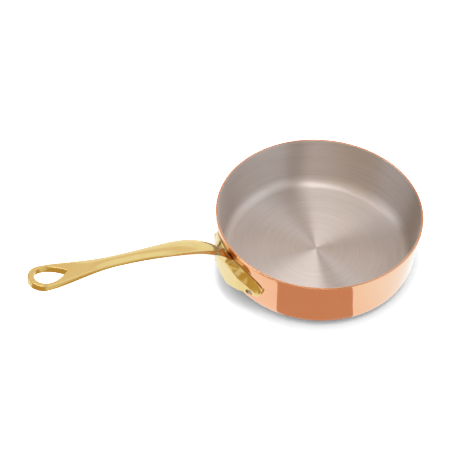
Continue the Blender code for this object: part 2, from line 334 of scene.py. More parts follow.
@dataclass(frozen=True)
class PolishedCopper:
    """Mirror-polished copper with faint cloudy tarnish, polishing-mop traces and painted shade at
    the foot.
    """

    bright: Colour = (0.89, 0.50, 0.30)
    tarnish_and_shade: Colour = (0.82, 0.40, 0.21)
    roughness: float = 0.085
    cloud_scale: float = 38.0
    cloud_tarnish: float = 0.55
    cloud_haze: float = 0.05
    # Painted shade: the copper is darkened over the lowest few millimetres of the foot, in place of
    # the reflected contact shadow. The same darkening runs along the top of the lip.
    edge_darkening: float = 0.5
    foot_height: float = 0.0045
    foot_fade: float = 0.004
    lip_height: float = 0.0575
    lip_fade: float = 0.0004
    mop_along: float = 9.0
    mop_across: float = 900.0
    mop_haze: float = 0.03
    mop_depth: float = 0.0000012

    def material(self) -> bpy.types.Material:
        """Build the copper.

        Returns:
            The material.
        """
        shader = Shader("polished_copper")
        vector, x, y, z = shader.place()
        clouds = shader.noise(vector, self.cloud_scale, detail=3.0, rough=0.55)
        stretched = shader.vector(x * self.mop_along, y * self.mop_along, z * self.mop_across)
        lines = shader.noise(stretched, 1.0, detail=3.0, rough=0.6)
        foot = ((self.foot_height - z) / self.foot_fade).clamped()
        lip = ((z - self.lip_height) / self.lip_fade).clamped()
        # Darker in the tarnish clouds, with painted shade at the foot and darkening along the top
        # of the lip.
        tarnish_and_edge_darkening = clouds * self.cloud_tarnish + foot * self.edge_darkening + lip * self.edge_darkening
        haze = shader.around(self.roughness, (clouds, self.cloud_haze), (lines, self.mop_haze))
        return shader.finish({
            "Base Color": shader.mix(tarnish_and_edge_darkening.clamped(), self.bright, self.tarnish_and_shade),
            "Roughness": haze,
            "Normal": shader.bump(lines, self.mop_depth),
        })


@dataclass(frozen=True)
class BrushedSteel:
    """Stainless lining, brushed round and round on the turning spindle."""

    bright: Colour = (0.93, 0.87, 0.84)
    dull: Colour = (0.60, 0.55, 0.53)
    roughness: float = 0.385
    anisotropy: float = 0.97
    turn: float = 0.25
    coarse: Point = (14.0, 420.0)
    fine: Point = (30.0, 1700.0)
    haze: float = 0.14
    depth: float = 0.000004

    def material(self) -> bpy.types.Material:
        """Build the steel.

        The brush marks run round the pan and lie side by side down the wall and over the floor.

        Returns:
            The material.
        """
        shader = Shader("brushed_steel_lining")
        vector, x, y, z = shader.place()
        flat = shader.vector(x, y, 0.0)
        radius = shader.add("ShaderNodeVectorMath", {"operation": "LENGTH"}, {0: flat}, "Value")
        path = radius + z
        layers = []
        for (along, across), rough in ((self.coarse, 0.6), (self.fine, 0.7)):
            stretched = shader.vector(x * along, y * along, path * across)
            layers.append(shader.noise(stretched, 1.0, rough=rough) * 0.5)
        marks = layers[0] + layers[1]
        return shader.finish({
            "Base Color": shader.mix(marks, self.dull, self.bright),
            "Roughness": shader.around(self.roughness, (marks, self.haze)),
            "Anisotropic": self.anisotropy,
            "Anisotropic Rotation": self.turn,
            "Normal": shader.bump(marks, self.depth),
        })


@dataclass(frozen=True)
class CastBrass:
    """Polished cast brass: soft casting waves, fine hand-polishing lines, and a hollow at the
    stem's root that is rougher, where the polishing wheel doesn't reach, and painted lighter
    against its shade."""

    bright: Colour = (0.85, 0.69, 0.31)
    deep: Colour = (0.76, 0.56, 0.21)
    # Painted light: the lighter colour that the hollow at the stem's root is lifted towards,
    # against the shade of the pocket.
    root_light: Colour = (0.88, 0.70, 0.33)
    roughness: float = 0.165
    wave_scale: float = 60.0
    wave_tint: float = 0.6
    wave_depth: float = 0.00002
    grain_scale: float = 900.0
    grain_tint: float = 0.25
    grain_haze: float = 0.06
    line_scale: Triple = (60.0, 1500.0, 900.0)
    line_haze: float = 0.05
    line_depth: float = 0.0000015
    root: Triple = (-0.102, 0.0, 0.049)
    root_reach: float = 0.0095
    root_fade: float = 0.5
    root_light_share: float = 0.8
    root_haze: float = 0.35

    def material(self) -> bpy.types.Material:
        """Build the brass.

        Returns:
            The material.
        """
        shader = Shader("polished_cast_brass")
        vector, x, y, z = shader.place()
        waves = shader.noise(vector, self.wave_scale, rough=0.4)
        grain = shader.noise(vector, self.grain_scale)
        stretch = self.line_scale
        stretched = shader.vector(x * stretch[0], y * stretch[1], z * stretch[2])
        lines = shader.noise(stretched, 1.0, rough=0.6)
        away = shader.add(
            "ShaderNodeVectorMath", {"operation": "DISTANCE"}, {0: vector, 1: self.root}, "Value"
        )
        # Painted light at the stem's root: the colour is lifted in the hollow, and the surface is
        # rougher there.
        root_haze_and_light = ((1.0 - away / self.root_reach) / self.root_fade).clamped()
        deeper = waves * self.wave_tint + grain * self.grain_tint
        colour = shader.mix(deeper, self.bright, self.deep)
        soft = shader.bump(waves, self.wave_depth)
        haze = shader.around(self.roughness, (grain, self.grain_haze), (lines, self.line_haze))
        return shader.finish({
            "Base Color": shader.mix(root_haze_and_light * self.root_light_share, colour, self.root_light),
            "Roughness": haze + root_haze_and_light * self.root_haze,
            "Normal": shader.bump(lines, self.line_depth, soft),
        })


@dataclass(frozen=True)
class RivetSteel:
    """Warm grey rivet steel with a hammered end."""

    bright: Colour = (0.60, 0.44, 0.33)
    dull: Colour = (0.34, 0.23, 0.16)
    roughness: float = 0.26
    hammer_scale: float = 700.0
    hammer_tint: float = 0.5
    hammer_depth: float = 0.00006
    grain_scale: float = 3500.0
    grain_tint: float = 0.4
    grain_haze: float = 0.12

    def material(self) -> bpy.types.Material:
        """Build the steel.

        Returns:
            The material.
        """
        shader = Shader("rivet_steel")
        vector = shader.place()[0]
        dents = shader.noise(vector, self.hammer_scale, detail=1.0, rough=0.4)
        grain = shader.noise(vector, self.grain_scale)
        duller = dents * self.hammer_tint + grain * self.grain_tint
        return shader.finish({
            "Base Color": shader.mix(duller, self.bright, self.dull),
            "Roughness": shader.around(self.roughness, (grain, self.grain_haze)),
            "Normal": shader.bump(dents, self.hammer_depth),
        })


class Shape(Tree):
    """Builds one Geometry Nodes tree with named inputs and turns it into a plain mesh."""

    def __init__(self, name: str, sizes: Mapping[str, float | int | Sequence[float]]) -> None:
        """Make a tree with an input for each size.

        Args:
            name: The tree's name.
            sizes: The inputs with their kinds, told by their values.
        """
        super().__init__(bpy.data.node_groups.new(name, "GeometryNodeTree"))
        self.sizes: dict[str, Link] = {}
        self.names: dict[str, str] = {}
        interface = self.nodes.interface
        interface.new_socket("Geometry", in_out="OUTPUT", socket_type="NodeSocketGeometry")
        for size, value in sizes.items():
            kind = "NodeSocketFloat"
            if isinstance(value, int):
                kind = "NodeSocketInt"
            elif not isinstance(value, float):
                kind = "NodeSocketVector"
            socket = interface.new_socket(size, in_out="INPUT", socket_type=kind)
            self.names[size] = socket.identifier
        socket = interface.new_socket("Finish", in_out="INPUT", socket_type="NodeSocketMaterial")
        self.names["Finish"] = socket.identifier
        first = self.add("NodeGroupInput")
        for size in self.names:
            self.sizes[size] = self.other(first, size)

    def grid(self, counts: Sequence[int], steps: Link) -> tuple[Link, list[Link], Link]:
        """Add a grid whose rows run along a profile and whose columns run round an axis.

        Args:
            counts: Rows of each part of the profile.
            steps: Columns of the full turn.

        Returns:
            The grid, how much of each part is passed at a point, and the column's angle.
        """
        rows = sum(counts) + 1
        grid = self.add("GeometryNodeMeshGrid", {}, {"Vertices X": steps + 1.0, "Vertices Y": rows})
        index = self.add("GeometryNodeInputIndex")
        row = index % float(rows)
        share = []
        first = 0
        for count in counts:
            share.append(((row - float(first)) / float(count)).clamped())
            first += count
        return grid, share, (index - row) / float(rows) * math.tau / steps

    def turn(self, grid: Link, angle: Link, radius: Link, height: Link) -> Link:
        """Place a grid's points round the Z axis and close its seam and poles.

        Args:
            grid: The grid.
            angle: Angle of each point.
            radius: Distance of each point from the axis.
            height: Height of each point.

        Returns:
            The turned shape.
        """
        place = self.vector(radius * angle.cos(), radius * angle.sin(), height)
        turned = self.add("GeometryNodeSetPosition", {}, {"Geometry": grid, "Position": place})
        return self.add("GeometryNodeMergeByDistance", {}, {"Geometry": turned, "Distance": MERGE})

    def end(self, shape: Link) -> None:
        """End the tree in real geometry with the finish on it.

        Args:
            shape: The geometry, with any instances.
        """
        real = self.add("GeometryNodeRealizeInstances", {}, {"Geometry": shape})
        sockets = {"Geometry": real, "Material": self.sizes["Finish"]}
        dressed = self.add("GeometryNodeSetMaterial", {}, sockets)
        self.add("NodeGroupOutput", {}, {0: dressed})

    def mesh(
        self, name: str, values: Mapping[str, Any], finish: bpy.types.Material
    ) -> bpy.types.Mesh:
        """Run the tree once.

        Args:
            name: Name of the mesh.
            values: Value of each size.
            finish: The material.

        Returns:
            A plain mesh.
        """
        carrier = bpy.data.objects.new(name, bpy.data.meshes.new(name + "_carrier"))
        bpy.context.scene.collection.objects.link(carrier)
        modifier = carrier.modifiers.new(self.nodes.name, "NODES")
        modifier.node_group = self.nodes
        for size, value in values.items():
            modifier[self.names[size]] = value
        modifier[self.names["Finish"]] = finish
        mesh = as_mesh(carrier)
        bpy.data.objects.remove(carrier)
        return mesh


def as_mesh(obj: bpy.types.Object) -> bpy.types.Mesh:
    """Read an object with its modifiers as a plain mesh."""
    evaluated = obj.evaluated_get(bpy.context.evaluated_depsgraph_get())
    return bpy.data.meshes.new_from_object(evaluated)


def tidied(mesh: bpy.types.Mesh) -> bpy.types.Mesh:
    """Merge doubles, turn every face outwards and shade it smooth except at its edges.

    Args:
        mesh: The mesh, which is changed.

    Returns:
        The same mesh.
    """
    body = bmesh.new()
    body.from_mesh(mesh)
    bmesh.ops.remove_doubles(body, verts=body.verts, dist=MERGE)
    bmesh.ops.dissolve_degenerate(body, edges=body.edges, dist=MERGE)
    bmesh.ops.recalc_face_normals(body, faces=body.faces)
    body.to_mesh(mesh)
    body.free()
    mesh.shade_smooth()
    mesh.set_sharp_from_angle(angle=SMOOTH_ANGLE)
    return mesh


def lofted(name: str, rings: Sequence[Ring]) -> bpy.types.Mesh:
    """Join rings of equal length into one closed mesh.

    Args:
        name: Name of the mesh.
        rings: The rings, from one end to the other.

    Returns:
        The mesh.
    """
    mesh = bpy.data.meshes.new(name)
    body = bmesh.new()
    loops = [[body.verts.new(point) for point in ring] for ring in rings]
    count = len(rings[0])
    for low, high in zip(loops[:-1], loops[1:]):
        for i in range(count):
            j = (i + 1) % count
            body.faces.new((low[i], low[j], high[j], high[i]))
    body.faces.new(loops[0])
    body.faces.new(loops[-1])
    body.to_mesh(mesh)
    body.free()
    return tidied(mesh)


def cut(
    mesh: bpy.types.Mesh, others: Sequence[bpy.types.Mesh], operation: str = "DIFFERENCE"
) -> bpy.types.Mesh:
    """Cut or join a mesh with others.

    Args:
        mesh: The mesh to work on.
        others: The cutters, or the meshes to join.
        operation: Name of the Boolean operation.

    Returns:
        The new mesh.
    """
    scene = bpy.context.scene.collection.objects
    work = bpy.data.objects.new(mesh.name, mesh)
    scene.link(work)
    tools = []
    for other in others:
        tool = bpy.data.objects.new(other.name, other)
        scene.link(tool)
        tools.append(tool)
        modifier = work.modifiers.new(other.name, "BOOLEAN")
        modifier.operation = operation
        modifier.object = tool
        modifier.solver = "EXACT"
        modifier.material_mode = "INDEX"
    result = as_mesh(work)
    for obj in [work, *tools]:
        bpy.data.objects.remove(obj)
    return tidied(result)


def show(name: str, mesh: bpy.types.Mesh, slot: Slot, *nodes: str) -> bpy.types.Object:
    """Put a finished piece in the scene in place of its solids.

    Args:
        name: Name of the piece.
        mesh: Its mesh, in place.
        slot: Not used.
        nodes: The solids it stands for.

    Returns:
        The piece.
    """
    mesh.name = name
    piece = bpy.data.objects.new(name, mesh)
    bpy.context.scene.collection.objects.link(piece)
    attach(piece, BODY)
    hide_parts(*nodes)
    LOG.info("%s: %d faces, stands for %s", name, len(mesh.polygons), ", ".join(nodes))
    return piece


@dataclass(frozen=True)
class Profile:
    """The pan's outer profile, which the handle's flange and the rivets also follow."""

    rim_radius: float = 0.100
    height: float = 0.0582
    draft: float = 0.0028
    corner_radius: float = 0.0131

    @property
    def lean(self) -> float:
        """Angle of the wall from upright."""
        return math.atan2(self.draft, self.height - self.corner_radius)

    def wall_radius(self, z: float) -> float:
        """Outer radius of the copper wall at a height."""
        climb = (self.height - z) / (self.height - self.corner_radius)
        return self.rim_radius - self.draft * climb

    def around(self, along: float, radius: float, z: float) -> Vector:
        """Find a point on the wall.

        Args:
            along: Distance round the rim from the handle's plane.
            radius: Distance from the pan's axis.
            z: Height.

        Returns:
            The point.
        """
        angle = along / self.rim_radius
        return Vector((-radius * math.cos(angle), -radius * math.sin(angle), z))


@dataclass
class PanBody:
    """The copper pan and its steel lining, both turned about the pan's axis."""

    profile: Profile
    copper: PolishedCopper = field(default_factory=PolishedCopper)
    steel: BrushedSteel = field(default_factory=BrushedSteel)
    copper_wall: float = 0.0015
    lining_wall: float = 0.0005
    lining_below_rim: float = 0.0003
    bond: float = 0.00003
    steps: int = 288
    floor_rows: int = 12
    corner_rows: int = 14
    wall_rows: int = 12
    lip_rows: int = 5
    lip_flat_rows: int = 2
    copper_lip_round: float = 0.00028
    lining_lip_round: float = 0.00020

    def shell(self, sizes: Mapping[str, float | int]) -> Shape:
        """Build the tree of one turned layer.

        The profile runs along the inside from the axis to the rim, over the lip and back under the
        outside to the axis. Each part of the way is a share that goes from 0 to 1 over its rows.

        Args:
            sizes: Sizes of one layer, for their names and kinds.

        Returns:
            The tree.
        """
        counts = [self.floor_rows, self.corner_rows, self.wall_rows]
        counts += [self.lip_rows, self.lip_flat_rows, self.lip_rows]
        counts += [self.wall_rows, self.corner_rows, self.floor_rows]
        shape = Shape("turned_layer", sizes)
        size = shape.sizes
        grid, share, angle = shape.grid(counts, size["Steps"])
        lip = size["Lip round"]
        outer = size["Corner radius"] - size["Inset"]
        inner = outer - size["Wall"]
        bend = math.pi / 2 - size["Lean"]
        lean_sin = size["Lean"].sin()
        lean_cos = size["Lean"].cos()
        rise = size["Height"] - size["Corner radius"] + inner * lean_sin - lip * (1.0 - lean_sin)
        wall = rise / lean_cos
        floor = size["Rim radius"] - lip * (1.0 - lean_cos) - outer * lean_cos - wall * lean_sin
        in_angle = share[1] * bend
        out_angle = bend - share[7] * bend
        lip_in = share[3] * (math.pi / 2)
        lip_over = share[5] * (math.pi / 2)
        climb = wall * (share[2] - share[6])
        lip_up = lip * (lip_in.sin() + lip_over.cos() - 1.0)
        lip_out = lip * (1.0 - lip_in.cos() + lip_over.sin())
        lip_out = lip_out + (size["Wall"] - lip * 2.0) * share[4]
        radius = floor * (share[0] - share[8]) + inner * in_angle.sin()
        radius = radius + climb * lean_sin + lip_up * lean_sin + lip_out * lean_cos
        radius = radius + outer * (out_angle.sin() - bend.sin())
        height = size["Inset"] + size["Wall"] + inner * (1.0 - in_angle.cos())
        height = height + climb * lean_cos + lip_up * lean_cos - lip_out * lean_sin
        height = height + outer * (bend.cos() - out_angle.cos())
        shape.end(shape.turn(grid, angle, radius, height))
        return shape

    def sizes(
        self, inset: float, wall: float, below_rim: float, lip_round: float
    ) -> dict[str, float | int]:
        """List the sizes of one layer.

        Args:
            inset: Depth of its outside below the copper's outside.
            wall: Its thickness.
            below_rim: How far its lip stays under the rim.
            lip_round: Radius of the lip's two edges.

        Returns:
            The inputs of the tree.
        """
        profile = self.profile
        return {
            "Rim radius": profile.rim_radius - inset,
            "Height": profile.height - below_rim,
            "Lean": profile.lean,
            "Corner radius": profile.corner_radius,
            "Inset": inset,
            "Wall": wall,
            "Lip round": lip_round,
            "Steps": self.steps,
        }

    def build(self, cutters: Callable[[], list[bpy.types.Mesh]]) -> None:
        """Build both layers.

        Args:
            cutters: Makes the cutters of the rivet holes.
        """
        inset = self.copper_wall + self.bond
        copper = self.sizes(0.0, self.copper_wall, 0.0, self.copper_lip_round)
        lining = self.sizes(
            inset, self.lining_wall, self.lining_below_rim, self.lining_lip_round
        )
        shell = self.shell(copper)
        layers = (
            ("copper_shell", copper, self.copper, Slot.COPPER, "copper_body"),
            ("brushed_lining", lining, self.steel, Slot.LINING, "steel_lining"),
        )
        for name, values, finish, slot, node in layers:
            mesh = tidied(shell.mesh(name, values, finish.material()))
            show(name, cut(mesh, cutters()), slot, node)


@dataclass
class Rivets:
    """Two rivets, square to the wall, with a low domed head inside and a small end outside."""

    profile: Profile
    finish: RivetSteel = field(default_factory=RivetSteel)
    along: float = 0.0316
    z: float = 0.0254
    shank_radius: float = 0.0024
    inner_radius: float = 0.0052
    inner_height: float = 0.0016
    outer_radius: float = 0.0031
    outer_height: float = 0.0017
    edge_height: float = 0.0005
    wall: float = 0.00205
    spot_face: float = 0.0030
    spot_margin: float = 0.00045
    hole_margin: float = 0.0001
    steps: int = 64
    dome_rows: int = 12
    edge_rows: int = 2
    seat_rows: int = 2
    shank_rows: int = 4
    cutter_steps: int = 72
    cutter_reach: float = 0.0156

    def matrix(self, side: float) -> Matrix:
        """Find a rivet's frame, whose Z axis points out through the wall.

        Args:
            side: 1 for the rivet towards -Y and -1 for the other.

        Returns:
            The frame, from the copper's outer face.
        """
        along = side * self.along
        place = self.profile.around(along, self.profile.wall_radius(self.z), self.z)
        turn = Matrix.Rotation(math.pi + along / self.profile.rim_radius, 4, "Z")
        return Matrix.Translation(place) @ turn @ Matrix.Rotation(
            0.5 * math.pi + self.profile.lean, 4, "Y"
        )

    def seats(self) -> tuple[float, float]:
        """Find how far the heads' seats are from the copper's outer face, inner one first."""
        sag = self.inner_radius ** 2 / (2.0 * (self.profile.rim_radius - self.wall))
        return -(self.wall + sag), self.spot_face

    def sizes(self, side: float) -> dict[str, Any]:
        """List the sizes and the place of one rivet.

        Args:
            side: 1 for the rivet towards -Y and -1 for the other.

        Returns:
            The inputs of the tree.
        """
        matrix = self.matrix(side)
        inner, outer = self.seats()
        return {
            "Shank radius": self.shank_radius,
            "Inner radius": self.inner_radius,
            "Inner height": self.inner_height,
            "Inner seat": inner,
            "Outer radius": self.outer_radius,
            "Outer height": self.outer_height,
            "Outer seat": outer,
            "Edge": self.edge_height,
            "Place": tuple(matrix.to_translation()),
            "Turn": tuple(matrix.to_euler()),
            "Steps": self.steps,
        }

    def tree(self) -> Shape:
        """Build the tree: a turned rivet, set as an instance at its place in the wall.

        The profile runs from the outer end's crown over its edge and seat, along the shank, and
        over the inner head to its crown.

        Returns:
            The tree.
        """
        shape = Shape("rivet", self.sizes(1.0))
        size = shape.sizes
        head = [self.dome_rows, self.edge_rows, self.seat_rows]
        counts = [*head, self.shank_rows, *reversed(head)]
        grid, share, angle = shape.grid(counts, size["Steps"])
        quarter = math.pi / 2
        outer_dome = share[0] * quarter
        inner_dome = (1.0 - share[6]) * quarter
        edge = size["Edge"]
        radius = size["Outer radius"] * outer_dome.sin()
        radius = radius - (size["Outer radius"] - size["Shank radius"]) * share[2]
        radius = radius + (size["Inner radius"] - size["Shank radius"]) * share[4]
        radius = radius - size["Inner radius"] * (1.0 - inner_dome.sin())
        height = size["Outer seat"] + edge * (1.0 - share[1])
        height = height + (size["Outer height"] - edge) * outer_dome.cos()
        height = height - (size["Outer seat"] - size["Inner seat"]) * share[3]
        height = height - edge * share[5] - (size["Inner height"] - edge) * inner_dome.cos()
        turned = shape.turn(grid, angle, radius, height)
        spot = shape.add("GeometryNodePoints", {}, {"Count": 1, "Position": size["Place"]})
        rotation = shape.add("FunctionNodeEulerToRotation", {}, {0: size["Turn"]})
        sockets = {"Points": spot, "Instance": turned, "Rotation": rotation}
        shape.end(shape.add("GeometryNodeInstanceOnPoints", {}, sockets))
        return shape

    def cutters(self) -> list[bpy.types.Mesh]:
        """Make a stepped cutter for each rivet: its hole, and the spot face under its outer end.

        Returns:
            The two cutters.
        """
        bore = self.shank_radius + self.hole_margin
        spot = self.outer_radius + self.spot_margin
        step = self.spot_face
        ends = (-self.cutter_reach, step, step, self.cutter_reach)
        angles = [math.tau * i / self.cutter_steps for i in range(self.cutter_steps)]
        circle = [(math.cos(angle), math.sin(angle)) for angle in angles]
        cutters = []
        for side in (1.0, -1.0):
            matrix = self.matrix(side)
            rings = []
            for radius, height in zip((bore, bore, spot, spot), ends):
                rings.append([matrix @ Vector((radius * x, radius * y, height)) for x, y in circle])
            cutters.append(lofted("rivet_hole", rings))
        return cutters

    def build(self) -> None:
        """Build both rivets."""
        tree = self.tree()
        finish = self.finish.material()
        sides = (("rivet_near", 1.0, "rivet_right"), ("rivet_far", -1.0, "rivet_left"))
        for name, side, node in sides:
            mesh = tidied(tree.mesh(name, self.sizes(side), finish))
            show(name, mesh, Slot.RIVET, node)


@dataclass
class Flange:
    """The cast plate that wraps the wall, with a lobe for each rivet and a tongue between them."""

    profile: Profile
    rivet_along: float = 0.0316
    below_rim: float = 0.0107
    seat: float = 0.00015
    half_width: float = 0.0451
    lobe_depth: float = 0.0265
    lobe_radius: float = 0.0120
    lobe_lower_radius: float = 0.0142
    lobe_top_drop: float = 0.0065
    shoulder_from_centre: float = 0.0175
    shoulder_drop: float = 0.0088
    shoulder_power: float = 1.3
    tongue_depth: float = 0.0355
    tongue_half_width: float = 0.0265
    body_thickness: float = 0.0080
    body_half_width: float = 0.0190
    wing_thickness: float = 0.0043
    upper_thickness: float = 0.0010
    upper_thickness_at_stem: float = 0.0050
    wing_from_tip: float = 0.0120
    tip_thickness: float = 0.0036
    edge_thickness: float = 0.0007
    edge_round: float = 0.0016
    body_edge_round: float = 0.0026
    ridge_at_stem: float = 0.0040
    ridge_at_rivet: float = 0.0135
    ridge_above_bottom: float = 0.0030
    least_ridge: float = 0.0010
    ridge_power: float = 3.0
    flare_from_centre: float = 0.0030
    flare_width: float = 0.0080
    stations: int = 150
    levels: int = 48
    back_levels: int = 12

    def top(self, x: float) -> float:
        """Find the upper edge.

        Args:
            x: Distance from the middle.

        Returns:
            Its depth below the flange's highest point.
        """
        lobe_start = self.half_width - self.lobe_radius
        shoulder = (x - self.shoulder_from_centre) / (self.half_width - self.shoulder_from_centre)
        drop = self.shoulder_drop * max(shoulder, 0.0) ** self.shoulder_power
        past = max(x - lobe_start, 0.0) / self.lobe_radius
        return drop + self.lobe_top_drop * (1.0 - math.sqrt(max(1.0 - past * past, 0.0)))

    def bottom(self, x: float) -> float:
        """Find the lower edge.

        Args:
            x: Distance from the middle.

        Returns:
            Its depth below the flange's highest point.
        """
        tongue = (self.tongue_depth - self.lobe_depth) * (1.0 - ease(x / self.tongue_half_width))
        lobe_start = self.half_width - self.lobe_lower_radius
        past = max(x - lobe_start, 0.0) / self.lobe_lower_radius
        rise = self.lobe_depth - self.top(self.half_width)
        return self.lobe_depth + tongue - rise * (1.0 - math.sqrt(max(1.0 - past * past, 0.0)))

    @staticmethod
    def square_on(edge: Callable[[float], float], x: float) -> float:
        """Find the share of an upright distance that is square to a sloping edge.

        Args:
            edge: Gives the edge's depth at a distance from the middle.
            x: Distance from the middle.

        Returns:
            The share.
        """
        step = 0.00005
        slope = (edge(x) - edge(max(x - step, 0.0))) / step
        return 1.0 / math.sqrt(1.0 + slope * slope)

    def thickness(self, x: float, depth: float) -> float:
        """Find the plate's thickness.

        Args:
            x: Distance from the middle.
            depth: Depth below the flange's highest point.

        Returns:
            The thickness over the wall.
        """
        top = self.top(x)
        wing_start = self.half_width - self.wing_from_tip
        to_wing = ease((x - self.body_half_width) / (wing_start - self.body_half_width))
        to_tip = ease((x - self.rivet_along) / (self.half_width - self.rivet_along))
        full = lerp(self.body_thickness, self.wing_thickness, to_wing)
        full = lerp(full, self.tip_thickness, to_tip)
        flare = ease(1.0 - (x - self.flare_from_centre) / self.flare_width)
        upper = min(lerp(self.upper_thickness, self.upper_thickness_at_stem, flare), full)
        towards_rivet = min(x / self.rivet_along, 1.0) ** self.ridge_power
        ridge = lerp(self.ridge_at_stem, self.ridge_at_rivet, towards_rivet)
        room = max(self.bottom(x) - top - self.ridge_above_bottom, self.least_ridge)
        ridge = min(ridge, room)
        face = lerp(upper, full, min(max((depth - top) / ridge, 0.0), 1.0))
        upper_round = lerp(self.edge_round, self.body_edge_round, flare)
        over = quarter_round((depth - top) * self.square_on(self.top, x), upper_round)
        below = (self.bottom(x) - depth) * self.square_on(self.bottom, x)
        return lerp(self.edge_thickness, face, over * quarter_round(below, self.edge_round))

    def mesh(self) -> bpy.types.Mesh:
        """Build the plate from upright slices, from one lobe's tip to the other's.

        Returns:
            The mesh.
        """
        rings = []
        highest = self.profile.height - self.below_rim
        shares = [0.5 - 0.5 * math.cos(math.pi * i / self.levels) for i in range(self.levels + 1)]
        backs = [i / self.back_levels for i in range(self.back_levels + 1)]
        for i in range(self.stations + 1):
            x = self.half_width * math.sin(math.pi * (i / self.stations - 0.5))
            top = self.top(abs(x))
            bottom = self.bottom(abs(x))
            ring = []
            for share in shares:
                depth = lerp(top, bottom, share)
                z = highest - depth
                out = self.profile.wall_radius(z) + self.seat + self.thickness(abs(x), depth)
                ring.append(self.profile.around(x, out, z))
            for share in reversed(backs):
                z = highest - lerp(top, bottom, share)
                ring.append(self.profile.around(x, self.profile.wall_radius(z) + self.seat, z))
            rings.append(ring)
        return lofted("flange", rings)


